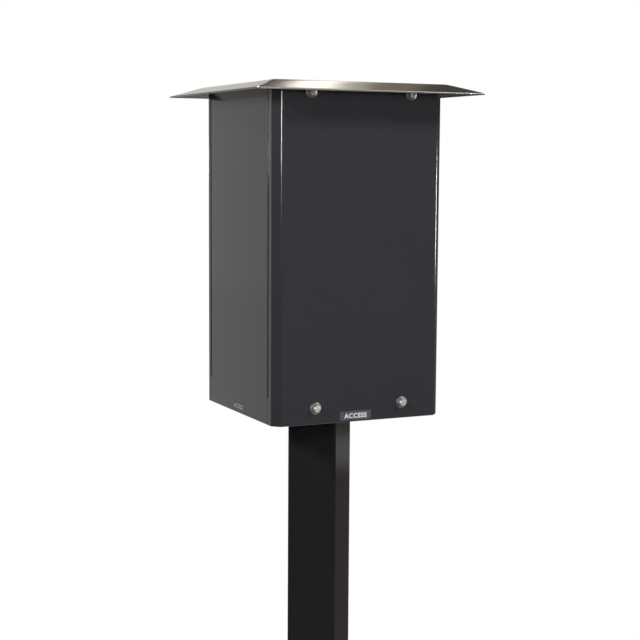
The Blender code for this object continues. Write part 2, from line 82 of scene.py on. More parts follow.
def softbox(name, azimuth, elevation, distance, size, brightness, colour=(1, 1, 1)):
    """A rectangular light round the housing's middle. Azimuth 0 is in front of the cover and
    turns towards -X when negative; brightness is per square metre of the box."""
    middle = Vector((0, 0, (housing_low.z + housing_high.z) / 2))
    a, e = math.radians(azimuth), math.radians(elevation)
    way = Vector((math.sin(a) * math.cos(e), -math.cos(a) * math.cos(e), math.sin(e)))
    lamp = bpy.data.lights.new(name, "AREA")
    lamp.shape = "RECTANGLE"
    lamp.size, lamp.size_y = size
    lamp.energy = brightness * size[0] * size[1]
    lamp.color = colour
    light = bpy.data.objects.new(name, lamp)
    light.matrix_world = aimed(middle + way * distance, middle)
    light.visible_camera = False
    bpy.context.scene.collection.objects.link(light)


view_turn, view_tilt, view_lean = (math.radians(v) for v in (-25.20, 6.31, 0.363))
view_back = Vector((math.sin(view_turn) * math.cos(view_tilt),
                    -math.cos(view_turn) * math.cos(view_tilt), math.sin(view_tilt)))
level_right = Vector((math.cos(view_turn), math.sin(view_turn), 0))
level_up = view_back.cross(level_right)
camera_right = math.cos(view_lean) * level_right + math.sin(view_lean) * level_up
camera_up = math.cos(view_lean) * level_up - math.sin(view_lean) * level_right
camera = bpy.data.objects.new("camera", bpy.data.cameras.new("camera"))
camera.data.lens = 80.7
camera.data.clip_start = 0.05
aim_right, aim_above, view_distance = -0.00024, 0.1396, 2.284
looked_at = level_right * aim_right + Vector((0, 0, housing_low.z + aim_above))
camera.matrix_world = (Matrix.Translation(looked_at + view_back * view_distance)
                       @ Matrix((camera_right, camera_up, view_back)).transposed().to_4x4())
bpy.context.scene.collection.objects.link(camera)
bpy.context.scene.camera = camera
bpy.context.scene.view_settings.view_transform = "Standard"

softbox("key_softbox", -66, 22, 2.6, (0.34, 0.32), 370, (1, 0.99, 0.97))
softbox("high_front_light", 50, 35, 2.6, (0.4, 0.4), 300, (0.98, 0.98, 1))
softbox("front_strip", -33, 10.3, 2.4, (0.12, 0.62), 360, (0.94, 0.96, 1))
softbox("front_right_panel", 26, -3, 3.0, (1.8, 1.8), 0.27, (0.93, 0.95, 1))
softbox("right_front_strip", 78, -0.4, 2.4, (0.24, 0.33), 260, (0.95, 0.97, 1))
softbox("rear_left_panel", -155, -1.6, 3.0, (2.4, 1.8), 1.22, (1, 0.98, 0.95))
softbox("rear_left_glow", -155, 0.5, 2.98, (2.4, 0.6), 0.12, (1, 0.98, 0.95))
softbox("rear_slit_strip", -178, 3.2, 2.6, (0.3, 0.13), 45, (1, 0.99, 0.97))
softbox("rear_panel", 176, 10, 3.2, (1.8, 0.9), 1.8, (1, 0.98, 0.95))
softbox("rear_right_strip", 151.1, 35, 3.4, (0.17, 1.0), 4.2, (1, 0.99, 0.96))
softbox("rear_right_wing", 150.0, 35, 3.41, (0.29, 1.0), 1.1, (1, 0.94, 0.82))
softbox("rear_right_edge", 148.0, 35, 3.42, (0.47, 1.0), 0.5, (1, 0.88, 0.72))
softbox("warm_corner", 136, 35, 3.4, (0.9, 1.0), 0.10, (1, 0.82, 0.66))
softbox("right_panel", 115, -9.5, 2.6, (1.4, 0.86), 0.22, (1, 0.90, 0.90))
softbox("right_low_band", 115, -18.5, 2.59, (1.4, 0.11), 0.58, (1, 0.96, 0.96))
softbox("low_right_panel", 118, -27, 2.8, (2.0, 1.0), 0.19, (1, 0.66, 0.68))
softbox("low_rear_panel", 165, -38, 2.6, (2.6, 1.6), 0.4)
softbox("rear_fill", 190, 50, 2.8, (1.0, 1.0), 14)
softbox("rear_reader_light", 172, 44, 2.8, (0.9, 0.9), 40)
softbox("high_right_light", 80, 62, 2.4, (1.2, 1.2), 5)

room = bpy.data.worlds.new("room")
room.use_nodes = True
room_nodes, room_links = room.node_tree.nodes, room.node_tree.links
ambient = room_nodes["Background"]
ambient.inputs["Color"].default_value = (0.98, 0.98, 1.0, 1)
ambient.inputs["Strength"].default_value = 0.045
seen = room_nodes.new("ShaderNodeBackground")
seen.inputs["Color"].default_value = (1, 1, 1, 1)
choice = room_nodes.new("ShaderNodeMixShader")
ray = room_nodes.new("ShaderNodeLightPath")
room_links.new(ray.outputs["Is Camera Ray"], choice.inputs[0])
room_links.new(ambient.outputs[0], choice.inputs[1])
room_links.new(seen.outputs[0], choice.inputs[2])
room_links.new(choice.outputs[0], room_nodes["World Output"].inputs["Surface"])
bpy.context.scene.world = room


class Wire:
    """A shader socket on which Python's operators work: each adds one Math node."""

    def __init__(self, paint, socket):
        self.paint, self.socket = paint, socket

    def math(self, operation, first, second):
        """One Math node on two sockets or numbers."""
        return self.paint.node("ShaderNodeMath", {"operation": operation}, {0: first, 1: second})

    def __add__(self, other):
        return self.math("ADD", self, other)

    def __sub__(self, other):
        return self.math("SUBTRACT", self, other)

    def __rsub__(self, other):
        return self.math("SUBTRACT", other, self)

    def __mul__(self, other):
        return self.math("MULTIPLY", self, other)

    def __pow__(self, power):
        return self.math("POWER", self, power)

    def __rpow__(self, base):
        return self.math("POWER", base, self)

    __radd__, __rmul__ = __add__, __mul__


class Paint:
    """One finish: a Principled shader, the piece's own coordinates, and the nodes that vary it."""

    def __init__(self, name, **fixed):
        self.material = bpy.data.materials.new(name)
        self.material.use_nodes = True
        self.tree = self.material.node_tree
        self.shader = self.tree.nodes["Principled BSDF"]
        for socket, value in fixed.items():
            self.shader.inputs[socket.replace("_", " ")].default_value = value
        self.place = self.node("ShaderNodeTexCoord", {}, {}, "Object")

    def node(self, kind, settings, sockets, output=0):
        """Any node: its settings first, then the values or links of its sockets."""
        made = self.tree.nodes.new(kind)
        for name, value in settings.items():
            setattr(made, name, value)
        for key, value in sockets.items():
            if isinstance(value, Wire):
                self.tree.links.new(value.socket, made.inputs[key])
            else:
                made.inputs[key].default_value = value
        return Wire(self, made.outputs[output])

    def drive(self, **wires):
        """Links wires to the shader's own sockets, underscores standing for spaces."""
        for socket, wire in wires.items():
            self.tree.links.new(wire.socket, self.shader.inputs[socket.replace("_", " ")])

    def noise(self, scale, detail=2.0, stretch=(1, 1, 1)):
        """Cloudy noise from 0 to 1; scale is in features a metre, stretch multiplies it by axis."""
        spread = self.node("ShaderNodeMapping", {}, {"Vector": self.place, "Scale": stretch})
        return self.node("ShaderNodeTexNoise", {},
                         {"Vector": spread, "Scale": scale, "Detail": detail})

    def blend(self, amount, low, high):
        """A colour between two, by a wire from 0 to 1."""
        return self.node("ShaderNodeMix", {"data_type": "RGBA"},
                         {"Factor": amount, 6: (*low, 1), 7: (*high, 1)}, 2)

    def bump(self, height, depth):
        """A height from 0 to 1 as a relief this deep, in metres."""
        self.drive(Normal=self.node("ShaderNodeBump", {}, {"Height": height, "Distance": depth}))


floor_radius, fade_start, fade_end, floor_sides = 3.2, 0.6, 1.15, 128
floor_paint = Paint("studio_floor", Roughness=0.6)
from_middle = floor_paint.node("ShaderNodeVectorMath", {"operation": "LENGTH"},
                               {0: floor_paint.place}, "Value")
fade = floor_paint.node("ShaderNodeMapRange", {"interpolation_type": "SMOOTHSTEP"},
                        {"Value": from_middle, "From Min": fade_start, "From Max": fade_end})
floor_paint.drive(Base_Color=floor_paint.blend(floor_paint.noise(3), (0.80, 0.80, 0.79),
                                               (0.84, 0.84, 0.83)))
clear = floor_paint.node("ShaderNodeBsdfTransparent", {}, {})
solid = Wire(floor_paint, floor_paint.shader.outputs[0])
mixed = floor_paint.node("ShaderNodeMixShader", {}, {0: fade, 1: solid, 2: clear})
floor_output = floor_paint.tree.nodes["Material Output"]
floor_paint.tree.links.new(mixed.socket, floor_output.inputs["Surface"])
floor_turn = np.linspace(0, 2 * np.pi, floor_sides, endpoint=False)
floor_mesh = bpy.data.meshes.new("floor")
floor_rim = np.stack((floor_radius * np.cos(floor_turn), floor_radius * np.sin(floor_turn),
                      np.zeros_like(floor_turn)), 1)
floor_mesh.from_pydata(floor_rim.tolist(), [], [list(range(floor_sides))])
floor_mesh.materials.append(floor_paint.material)
floor = bpy.data.objects.new("floor", floor_mesh)
bpy.context.scene.collection.objects.link(floor)


# ---- Post --------------------------------------------------------------------------------------
# A square steel tube with rounded corners, black powder coat over the drawn surface. It is cut
# square at both ends and welded to the base plate and to the swivel flange.

def powder(name, colour, rough, peel=1.0, index=1.5):
    """Powder coat: a faint orange-peel relief, a fine tooth in it and slow clouds of shade."""
    paint = Paint(name, IOR=index)
    clouds, peeled, tooth = paint.noise(5, 3), paint.noise(330, 1), paint.noise(1700, 2)
    low, high = [c * 0.90 for c in colour], [min(1, c * 1.12) for c in colour]
    paint.drive(Base_Color=paint.blend(clouds, low, high))
    paint.drive(Roughness=rough + (tooth - 0.5) * 0.05 + (clouds - 0.5) * 0.03)
    paint.bump(peeled * 0.75 + tooth * 0.25, 0.00006 * peel)
    return paint.material


def round_box(half_x, half_y, radius, steps=10, hold=0.001, middle=(0, 0)):
    """Outline of a rectangle with round corners, as rows of two: a quarter circle at each corner,
    with one more point just before and after it that keeps the flats flat."""
    angle = np.linspace(0, np.pi / 2, steps + 1)
    corner = radius * np.stack((np.cos(angle), np.sin(angle)), 1)
    corner = np.vstack((corner[0] - (0, hold), corner, corner[-1] - (hold, 0)))
    rows = []
    for quarter, (sx, sy) in enumerate(((1, 1), (-1, 1), (-1, -1), (1, -1))):
        c, s = round(math.cos(quarter * math.pi / 2)), round(math.sin(quarter * math.pi / 2))
        turned = corner @ np.array(((c, s), (-s, c)))
        rows.append(turned + (sx * (half_x - radius), sy * (half_y - radius)))
    return np.vstack(rows) + middle


def surface(name, grid, paint, closed_along=False, capped=False, sharp=35):
    """A piece from points [ring, place on the ring, xyz]. Each ring is closed on itself, rings
    join in order, and the first and last either join too or are capped."""
    rings, count = grid.shape[:2]
    index = np.arange(rings * count).reshape(rings, count)
    first = index if closed_along else index[:-1]
    second = np.roll(index, -1, 0) if closed_along else index[1:]
    faces = np.stack((first, np.roll(first, -1, 1), np.roll(second, -1, 1), second), -1)
    faces = faces.reshape(-1, 4).tolist()
    if capped:
        faces += [index[0, ::-1].tolist(), index[-1].tolist()]
    return finished(name, grid.reshape(-1, 3), faces, paint, sharp)


def finished(name, points, faces, paint, sharp=35):
    """Links a closed mesh as a piece, its faces turned outwards and its round places smooth."""
    mesh = bpy.data.meshes.new(name)
    mesh.from_pydata(np.asarray(points).tolist(), [], faces)
    shape = bmesh.new()
    shape.from_mesh(mesh)
    bmesh.ops.remove_doubles(shape, verts=shape.verts, dist=1e-7)
    bmesh.ops.recalc_face_normals(shape, faces=shape.faces)
    shape.to_mesh(mesh)
    shape.free()
    mesh.shade_smooth()
    mesh.set_sharp_from_angle(angle=math.radians(sharp))
    mesh.materials.append(paint)
    piece = bpy.data.objects.new(name, mesh)
    bpy.context.scene.collection.objects.link(piece)
    return piece


def stands_for(piece, node):
    """The piece is shown in place of a CAD node, on its body."""
    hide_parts(node)
    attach(piece, frame["nodes"][node]["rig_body"])
    return piece


def turned_flat(outline, angle):
    """A flat outline turned about the origin."""
    c, s = math.cos(angle), math.sin(angle)
    return outline @ np.array(((c, s), (-s, c)))


def at_height(outline, z):
    """A flat outline as rows of three, all at one height."""
    return np.column_stack((outline, np.full(len(outline), z)))


post_paint = powder("black_powder_coat", (0.0125, 0.0122, 0.0125), 0.11, 0.6)
post_half, post_wall, post_corner, post_turn = 0.040, 0.003, 0.006, math.radians(45)
post_low, post_high = (v.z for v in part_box("post_tube"))
post_outer = turned_flat(round_box(post_half, post_half, post_corner, 14), post_turn)
post_inner = turned_flat(round_box(post_half - post_wall, post_half - post_wall,
                                   post_corner - post_wall, 14), post_turn)
post_rings = ((post_outer, post_low), (post_outer, post_high), (post_inner, post_high),
              (post_inner, post_low))
post = surface("post", np.stack([at_height(outline, z) for outline, z in post_rings]), post_paint,
               closed_along=True)
stands_for(post, "post_tube")


# ---- Base plate and its weld --------------------------------------------------------------------
# Laser-cut 10 mm plate with eased edges, coated with the post. A fillet weld runs round the foot
# of the tube, laid in overlapping beads that still show through the coat.

def refined(node, paint, ease=0.0004, steps=2):
    """A CAD node's own shape with its triangles merged into whole faces and its edges eased."""
    shape = bmesh.new()
    shape.from_mesh(frame["nodes"][node].data)
    bmesh.ops.remove_doubles(shape, verts=shape.verts, dist=2e-6)
    bmesh.ops.dissolve_limit(shape, angle_limit=math.radians(0.5), verts=shape.verts,
                             edges=shape.edges)
    mesh = bpy.data.meshes.new(node + "_fine")
    shape.to_mesh(mesh)
    shape.free()
    mesh.shade_smooth()
    mesh.set_sharp_from_angle(angle=math.radians(35))
    mesh.materials.append(paint)
    piece = bpy.data.objects.new(node + "_fine", mesh)
    bpy.context.scene.collection.objects.link(piece)
    edge = piece.modifiers.new("eased", "BEVEL")
    edge.width, edge.segments = ease, steps
    edge.limit_method, edge.angle_limit = "ANGLE", math.radians(50)
    edge.harden_normals = True
    return stands_for(piece, node)


def bead(name, outline, z, radius, paint, pitch=0.004):
    """A weld run along a flat outline: a round bead whose radius ripples once a pitch."""
    steps, ripple_share = 6, 0.10
    closed = np.vstack((outline, outline[:1]))
    length = np.concatenate(([0], np.cumsum(np.linalg.norm(np.diff(closed, axis=0), axis=1))))
    count = steps * round(length[-1] / pitch)
    along = np.linspace(0, length[-1], count, endpoint=False)
    path = np.stack([np.interp(along, length, closed[:, k]) for k in (0, 1)], 1)
    ahead = np.roll(path, -1, 0) - np.roll(path, 1, 0)
    out = np.stack((ahead[:, 1], -ahead[:, 0]), 1) / np.linalg.norm(ahead, axis=1)[:, None]
    around = np.linspace(0, 2 * np.pi, 12, endpoint=False)
    ripple = radius * (1 + ripple_share * np.cos(np.arange(count) * 2 * np.pi / steps))[:, None]
    sideways = ripple * np.cos(around)
    grid = np.stack((path[:, None, 0] + out[:, None, 0] * sideways,
                     path[:, None, 1] + out[:, None, 1] * sideways,
                     z + ripple * np.sin(around) * 0.9), -1)
    return surface(name, grid, paint, closed_along=True, sharp=80)


refined("base_plate", post_paint, 0.0008, 3)
base_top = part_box("base_plate")[1].z
foot_half = post_half + 0.001
foot_line = turned_flat(round_box(foot_half, foot_half, post_corner, 14), post_turn)
foot_weld = bead("foot_weld", foot_line, base_top + 0.0012, 0.0035, post_paint)
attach(foot_weld, "post")


# ---- Swivel ------------------------------------------------------------------------------------
# A round flange with three curved slots on top of the post. The housing's floor lies on it, and
# three stainless bolts pinch the flange between the floor and a tapped zinc ring underneath.

def zinc(name):
    """Zinc plate: dull silver with a fine crystalline mottle."""
    paint = Paint(name, Metallic=1.0)
    mottle, grain = paint.noise(160, 3), paint.noise(1500, 2)
    paint.drive(Base_Color=paint.blend(mottle, (0.42, 0.43, 0.45), (0.58, 0.59, 0.60)))
    paint.drive(Roughness=0.34 + mottle * 0.16)
    paint.bump(grain, 0.00003)
    return paint.material


def polished(name, rough, colour):
    """Bare stainless: satin, with faint turning marks and small scuffs."""
    paint = Paint(name, Metallic=1.0)
    scuffs, grain = paint.noise(420, 4), paint.noise(2600, 2)
    paint.drive(Base_Color=paint.blend(scuffs, [c * 0.82 for c in colour], colour))
    paint.drive(Roughness=rough + scuffs ** 3.0 * 0.4)
    paint.bump(grain, 0.00001)
    return paint.material


zinc_paint = zinc("zinc_plate")
bright_steel = polished("bright_stainless", 0.42, (0.84, 0.82, 0.80))
# The washers' stainless is darkened to less than half the heads' colour: painted shade that sets
# the washers off against the bright heads.
shade_darkened_steel = polished("shade_darkened_stainless", 0.34, (0.36, 0.33, 0.30))
coat = powder("anthracite_powder_coat", (0.0262, 0.0250, 0.0288), 0.12, 0.6, 1.75)
refined("swivel_flange", post_paint)
for node in ("clamp_ring", "centre_spigot"):
    refined(node, zinc_paint)
for number in (1, 2, 3):
    refined(f"swivel_bolt_{number}", bright_steel, 0.0005)
neck_line = turned_flat(round_box(post_half, post_half, post_corner, 14), post_turn)
neck_weld = bead("neck_weld", neck_line, post_high - 0.0011, 0.0010, post_paint)
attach(neck_weld, "post")


# ---- Inner structure of the housing --------------------------------------------------------------
# Floor pan, two window frames and a top pan, folded from 2 mm steel and coated like the walls.
# EPDM gaskets lie between the frames and the two closing panels.

def rubber(name, colour=(0.012, 0.012, 0.012)):
    """Matt rubber: near black, dusty in its pores."""
    paint = Paint(name)
    pores, dust = paint.noise(900, 3), paint.noise(30, 3)
    paint.drive(Base_Color=paint.blend(dust, colour, [c * 2.2 for c in colour]))
    paint.drive(Roughness=0.62 + dust * 0.25)
    paint.bump(pores, 0.00008)
    return paint.material


def dress(node, paint):
    """Gives a CAD node that keeps its shape its finish."""
    slots = frame["nodes"][node].data.materials
    slots.clear()
    slots.append(paint)


for node in ("floor_pan", "front_frame", "rear_frame", "top_pan"):
    refined(node, coat)
seal = rubber("epdm")
for node in ("cover_gasket", "rear_gasket", "reader_gasket", "keypad_mat"):
    dress(node, seal)


# ---- Side walls ----------------------------------------------------------------------------------
# Flat 2 mm sheets, coated. Above the foot each is narrower than the gap it fills, which leaves a
# slit at its front and at its rear; below, only a hairline joint shows.

def side_wall(name, corners, radii, outer, inner, paint):
    """A sheet in the YZ plane from its corners in order. Each edge has its own rounding towards
    the outer face: it stands back there by what a quarter circle of that radius leaves out."""
    corners, radii = np.asarray(corners, float), np.asarray(radii, float)
    run = np.roll(corners, -1, 0) - corners
    inward = np.stack((-run[:, 1], run[:, 0]), 1) / np.linalg.norm(run, axis=1)[:, None]
    thick, back_ease = abs(outer - inner), 0.0002
    depths = np.concatenate((max(radii) * (1 - np.cos(np.linspace(0, np.pi / 2, 9))) ** 1.3,
                             (thick - back_ease, thick)))
    grid = []
    for depth in depths:
        short = np.clip(radii - depth, 0, None)
        back = radii - np.sqrt(radii ** 2 - short ** 2)
        if depth == thick:
            back = back + back_ease
        moved = corners + inward * back[:, None] + np.roll(inward * back[:, None], 1, 0)
        level = outer + (inner - outer) * depth / thick
        grid.append(np.column_stack((np.full(len(moved), level), moved)))
    return surface(name, np.stack(grid), paint, capped=True)


foot_height, slit_width, seam = 0.041, 0.0035, 0.0004
for side, outward in (("left", -1), ("right", 1)):
    node = side + "_side_panel"
    low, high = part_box(node)
    step = housing_low.z + foot_height
    front, rear = low.y, high.y
    slit_front, slit_rear = front + slit_width - seam, rear - slit_width + seam
    wall = [(front, low.z), (rear, low.z), (rear, step), (slit_rear, step), (slit_rear, high.z),
            (slit_front, high.z), (slit_front, step), (front, step)]
    rounding = [0.0004, 0.0004, 0.0004, 0.0008, 0.0004, 0.0003, 0.0004, 0.0004]
    outer, inner = (low.x, high.x) if outward < 0 else (high.x, low.x)
    stands_for(side_wall(side + "_wall", wall, rounding, outer, inner, coat), node)


# ---- Service cover and reader panel --------------------------------------------------------------
# Each is one 2 mm sheet with its corners folded twice by 45 degrees and a short return on each
# side. The folds are tight, so each carries a thin bright line of reflection down its length. The
# ends of the cover's returns are rolled, and catch the light beside the slits.

def bent(corners, radius, steps=8, hold=0.0012):
    """A sheet's middle line and left normals: straight runs joined by arcs of one radius, with a
    point beside each arc that keeps the flats flat."""
    corners = np.asarray(corners, float)
    run = np.diff(corners, axis=0)
    heading = np.arctan2(run[:, 1], run[:, 0])
    points, angles = [corners[0]], [heading[0]]
    for corner, before, after in zip(corners[1:-1], heading, heading[1:]):
        swing = (after - before + np.pi) % (2 * np.pi) - np.pi
        forward, leaving = (np.array((np.cos(h), np.sin(h))) for h in (before, after))
        start = corner - radius * np.tan(abs(swing) / 2) * forward
        centre = start + np.sign(swing) * radius * np.array((-forward[1], forward[0]))
        turn = before + swing * np.linspace(0, 1, steps + 1)
        arc = centre + np.sign(swing) * radius * np.stack((np.sin(turn), -np.cos(turn)), 1)
        points += [arc[0] - hold * forward, *arc, arc[-1] + hold * leaving]
        angles += [before, *turn, after]
    points.append(corners[-1])
    angles.append(heading[-1])
    angles = np.array(angles)
    return np.array(points), np.stack((-np.sin(angles), np.cos(angles)), 1)


def folded_panel(name, corners, low_z, high_z, thick, radius, paint, ease=0.0004):
    """A sheet standing on a folded line: the line is offset to both sides by half the thickness,
    less at its four edges, which are eased."""
    line, normal = bent(corners, radius)
    ends = np.array((line[1] - line[0], line[-1] - line[-2]))
    ends /= np.linalg.norm(ends, axis=1)[:, None]
    inner = line.copy()
    inner[0] += ends[0] * ease
    inner[-1] -= ends[1] * ease

    def ring(z, half):
        """Both sides of the line at one height, the second read backwards."""
        one = np.vstack((line[0] + normal[0] * (half - ease), inner + normal * half,
                         line[-1] + normal[-1] * (half - ease)))
        other = np.vstack((line[0] - normal[0] * (half - ease), inner - normal * half,
                           line[-1] - normal[-1] * (half - ease)))
        return at_height(np.vstack((one, other[::-1])), z)

    half = thick / 2
    levels = ((low_z, half - ease), (low_z + ease, half), (high_z - ease, half),
              (high_z, half - ease))
    return surface(name, np.stack([ring(z, h) for z, h in levels]), paint, capped=True)


def pierced(piece, outline, low_y, high_y):
    """Cuts an outline through a panel along Y and keeps the cut mesh."""
    outline = np.asarray(outline)
    grid = np.stack([np.column_stack((outline[:, 0], np.full(len(outline), y), outline[:, 1]))
                     for y in (low_y, high_y)])
    tool = surface("tool", grid, piece.data.materials[0], capped=True)
    hole = piece.modifiers.new("hole", "BOOLEAN")
    hole.operation, hole.solver, hole.object = "DIFFERENCE", "EXACT", tool
    finished_view = bpy.context.evaluated_depsgraph_get()
    cut = bpy.data.meshes.new_from_object(piece.evaluated_get(finished_view))
    piece.modifiers.clear()
    cut.shade_smooth()
    cut.set_sharp_from_angle(angle=math.radians(35))
    piece.data = cut
    bpy.data.objects.remove(tool)


sheet, chamfer, fold_radius = 0.002, 0.011, 0.003
middle_half = housing_high.x - sheet / 2
near = middle_half - chamfer + sheet / 2 * (2 - math.sqrt(2))
cover_end = housing_high.y
cover_line = [(-middle_half, cover_end), (-middle_half, -near), (-near, -middle_half),
              (near, -middle_half), (middle_half, -near), (middle_half, cover_end)]
cover = folded_panel("service_cover", cover_line, housing_low.z, housing_high.z, sheet,
                     fold_radius, coat)
stands_for(cover, "front_cover")
roll_radius, roll_out, roll_gap = 0.0009, 0.0006, 0.001
roll_turn = np.linspace(0, 2 * np.pi, 20, endpoint=False)
roll_ends = (housing_low.z + foot_height + roll_gap, housing_high.z - roll_gap)
for side in (-1, 1):
    roll = np.stack((side * (middle_half + roll_out) + roll_radius * np.cos(roll_turn),
                     cover_end - roll_radius + roll_radius * np.sin(roll_turn)), 1)
    edge_roll = surface(f"cover_edge_roll_{side + 2}",
                        np.stack([at_height(roll, z) for z in roll_ends]), coat, capped=True)
    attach(edge_roll, "head")

panel_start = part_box("reader_panel")[0].y
panel_line = [(middle_half, panel_start), (middle_half, near), (near, middle_half),
              (-near, middle_half), (-middle_half, near), (-middle_half, panel_start)]
panel = folded_panel("reader_side_panel", panel_line, housing_low.z, housing_high.z, sheet,
                     fold_radius, coat)
box_low, box_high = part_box("reader_back_box")
reader_z = (box_low.z + box_high.z) / 2
gap = 0.001
cutout = round_box((box_high.x - box_low.x) / 2 + gap, (box_high.z - box_low.z) / 2 + gap,
                   0.004, 4, middle=(0, reader_z))
panel_depths = (housing_high.x - 0.03, housing_high.x + 0.03)
pierced(panel, cutout, *panel_depths)
hole_radius, around = 0.0024, np.linspace(0, 2 * np.pi, 24, endpoint=False)
for screw in ("lower", "upper"):
    low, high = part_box("reader_screw_" + screw)
    hole = hole_radius * np.stack((np.cos(around), np.sin(around)), 1)
    pierced(panel, hole + (0, (low.z + high.z) / 2), *panel_depths)
stands_for(panel, "reader_panel")


# ---- Cover screws --------------------------------------------------------------------------------
# M6 stainless socket heads with a knurled side, a chamfered crown and a hexagon socket, on wide
# dished washers that fall away from the head to a thin rim.

def turning(name, rows, centre, paint, count=96, facing=-1, sharp=30):
    """A turned piece along Y. Rows are (radius, height, form): height grows towards the side it
    faces, and form is round, knurled (a fine ripple of the radius) or hexagonal."""
    angle = np.linspace(0, 2 * np.pi, count, endpoint=False)
    forms = {"round": np.ones(count), "knurled": 1 + 0.016 * np.cos(angle * 24),
             "hexagonal": 1 / np.cos((angle + np.pi / 6) % (np.pi / 3) - np.pi / 6)}
    radius = np.stack([row[0] * forms[row[2]] for row in rows])
    height = np.array([row[1] for row in rows])[:, None]
    x, y, z = centre
    grid = np.stack((x + radius * np.cos(angle), y + facing * height + 0 * radius,
                     z + radius * np.sin(angle)), -1)
    return surface(name, grid, paint, capped=True, sharp=sharp)


def washer(node, paint):
    """A dished ring along Y: its outline is turned round the middle of the CAD node's box, as
    radius times cosine and sine, with the height laid off towards -Y."""
    low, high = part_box(node)
    outer, thick = (high.x - low.x) / 2, high.y - low.y
    inner, edge, head_edge = 0.0034, 0.0005, 0.0056
    rim = 0.35 * thick
    outline = np.array([(inner, 0), (outer - 0.0002, 0), (outer, 0.0002), (outer, rim - 0.0002),
                        (outer - 0.0001, rim), (outer - edge, rim + 0.0002),
                        (head_edge, thick - 0.0001), (head_edge - 0.0004, thick),
                        (inner + 0.0003, thick), (inner, thick - 0.0003)])
    radius, height = outline[:, :1], outline[:, 1:]
    angle = np.linspace(0, 2 * np.pi, 64, endpoint=False)
    grid = np.stack(((low.x + high.x) / 2 + radius * np.cos(angle), high.y - height + 0 * angle,
                     (low.z + high.z) / 2 + radius * np.sin(angle)), -1)
    return stands_for(surface(node + "_fine", grid, paint, closed_along=True), node)


def socket_screw(node, seat, paint):
    """A socket-head screw along Y, its head's underside at the seat; flat is half the socket's
    width across its flats."""
    low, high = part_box(node)
    head, shank, flat = (high.x - low.x) / 2, 0.003, 0.0025
    tall, reach = seat - low.y, high.y - seat
    side = head - 0.0001
    rows = [(0.0004, -reach, "round"), (shank - 0.0006, -reach, "round"),
            (shank, -reach + 0.0006, "round"), (shank, 0, "round"), (head - 0.0003, 0, "round"),
            (side, 0.0002, "round"), (side, 0.0007, "knurled"), (side, tall - 0.0013, "knurled"),
            (head - 0.0002, tall - 0.0008, "round"), (head - 0.0006, tall - 0.0002, "round"),
            (head - 0.0009, tall, "round"), (flat * 1.20, tall, "round"),
            (flat * 1.02, tall - 0.0003, "hexagonal"), (flat, tall - 0.0005, "hexagonal"),
            (flat, tall - 0.0038, "hexagonal"), (0.0004, tall - 0.0046, "round")]
    centre = ((low.x + high.x) / 2, seat, (low.z + high.z) / 2)
    return stands_for(turning(node + "_fine", rows, centre, paint), node)


for number in (1, 2, 3, 4):
    washer(f"cover_washer_{number}", shade_darkened_steel)
    washer_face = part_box(f"cover_washer_{number}")[0].y
    socket_screw(f"cover_screw_{number}", washer_face - 0.0003, bright_steel)


# ---- Roof ----------------------------------------------------------------------------------------
# One brushed stainless sheet with four sloping rims, mitred and welded at the hips. The grain of
# the brushing runs along X over the whole sheet. Its edge is ground round.

def brushed(name, along, colour, rough=0.14, depth=0.00002):
    """Brushed stainless: long fine scratches along one axis, over a slow change of tone."""
    paint = Paint(name, Metallic=1.0)
    across = [1.0 if axis == along else 40.0 for axis in "XYZ"]
    broad = [1.0 if axis == along else 7.0 for axis in "XYZ"]
    hairs, bands, clouds = paint.noise(32, 4, across), paint.noise(10, 2, broad), paint.noise(4, 2)
    low, high = [c * 0.80 for c in colour], [min(1, c * 1.10) for c in colour]
    paint.drive(Base_Color=paint.blend(hairs * 0.6 + bands * 0.4, low, high))
    paint.drive(Roughness=rough + (hairs - 0.5) * 0.10 + (clouds - 0.5) * 0.05)
    paint.bump(hairs, depth)
    return paint.material


roof_steel = brushed("brushed_roof_stainless", "X", (0.60, 0.57, 0.52))
roof_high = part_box("roof")[1]
flat_x, flat_y, roof_drop, roof_sheet = 0.142, 0.142, 0.0145, 0.002
run_x, run_y = roof_high.x - flat_x, roof_high.y - flat_y


def roof_ring(share, z, inset=0.0):
    """The rounded rectangle at a share of the way up the rims, 0 at the eave and 1 at the flat."""
    eave_corner, flat_corner = 0.0014, 0.0010
    radius = eave_corner + (flat_corner - eave_corner) * min(share, 1)
    outline = round_box(roof_high.x - run_x * share - inset, roof_high.y - run_y * share - inset,
                        radius, 6, 0.0015)
    return at_height(outline, z)


def roof_height(share):
    """Height of the upper face: a hyperbola that blends the slope into the flat."""
    below, softness = 1 - share, 0.004
    return roof_high.z - roof_drop * (below + math.sqrt(below ** 2 + softness)) / 2


lip = roof_sheet / 2
climb = [lip / run_x, 0.05, 0.3, 0.6, 0.85, 0.92, 0.96, 0.99, 1.02, 1.05, 1.10, 1.18]
rings = [roof_ring(s, roof_height(s)) for s in reversed(climb)]
rings += [roof_ring(0, roof_height(0) - lip + lip * math.sin(t), lip * (1 - math.cos(t)))
          for t in np.radians((65, 40, 20, 0, -20, -45, -70))]
rings += [roof_ring(s, roof_height(s) - roof_sheet) for s in climb]
roof = surface("rain_roof", np.stack(rings), roof_steel, capped=True, sharp=50)
stands_for(roof, "roof")


# ---- Label and prints ----------------------------------------------------------------------------
# A stick-on plate of dark foil near the cover's lower edge, with one printed word, and the same
# word printed straight on the foot of the left wall. It only says what the housing is for.

def plate(name, half, radius, middle, face, paint, thick=0.0005, ease=0.00015):
    """A thin plate with round corners on a face towards -Y: three rounded rectangles, the outer
    one eased."""
    grid = []
    for inset, height in ((0, 0), (0, thick - ease), (ease, thick)):
        outline = round_box(half[0] - inset, half[1] - inset, radius, 5, 0.0002, middle)
        grid.append(np.column_stack((outline[:, 0], np.full(len(outline), face - height),
                                     outline[:, 1])))
    return surface(name, np.stack(grid), paint, capped=True)


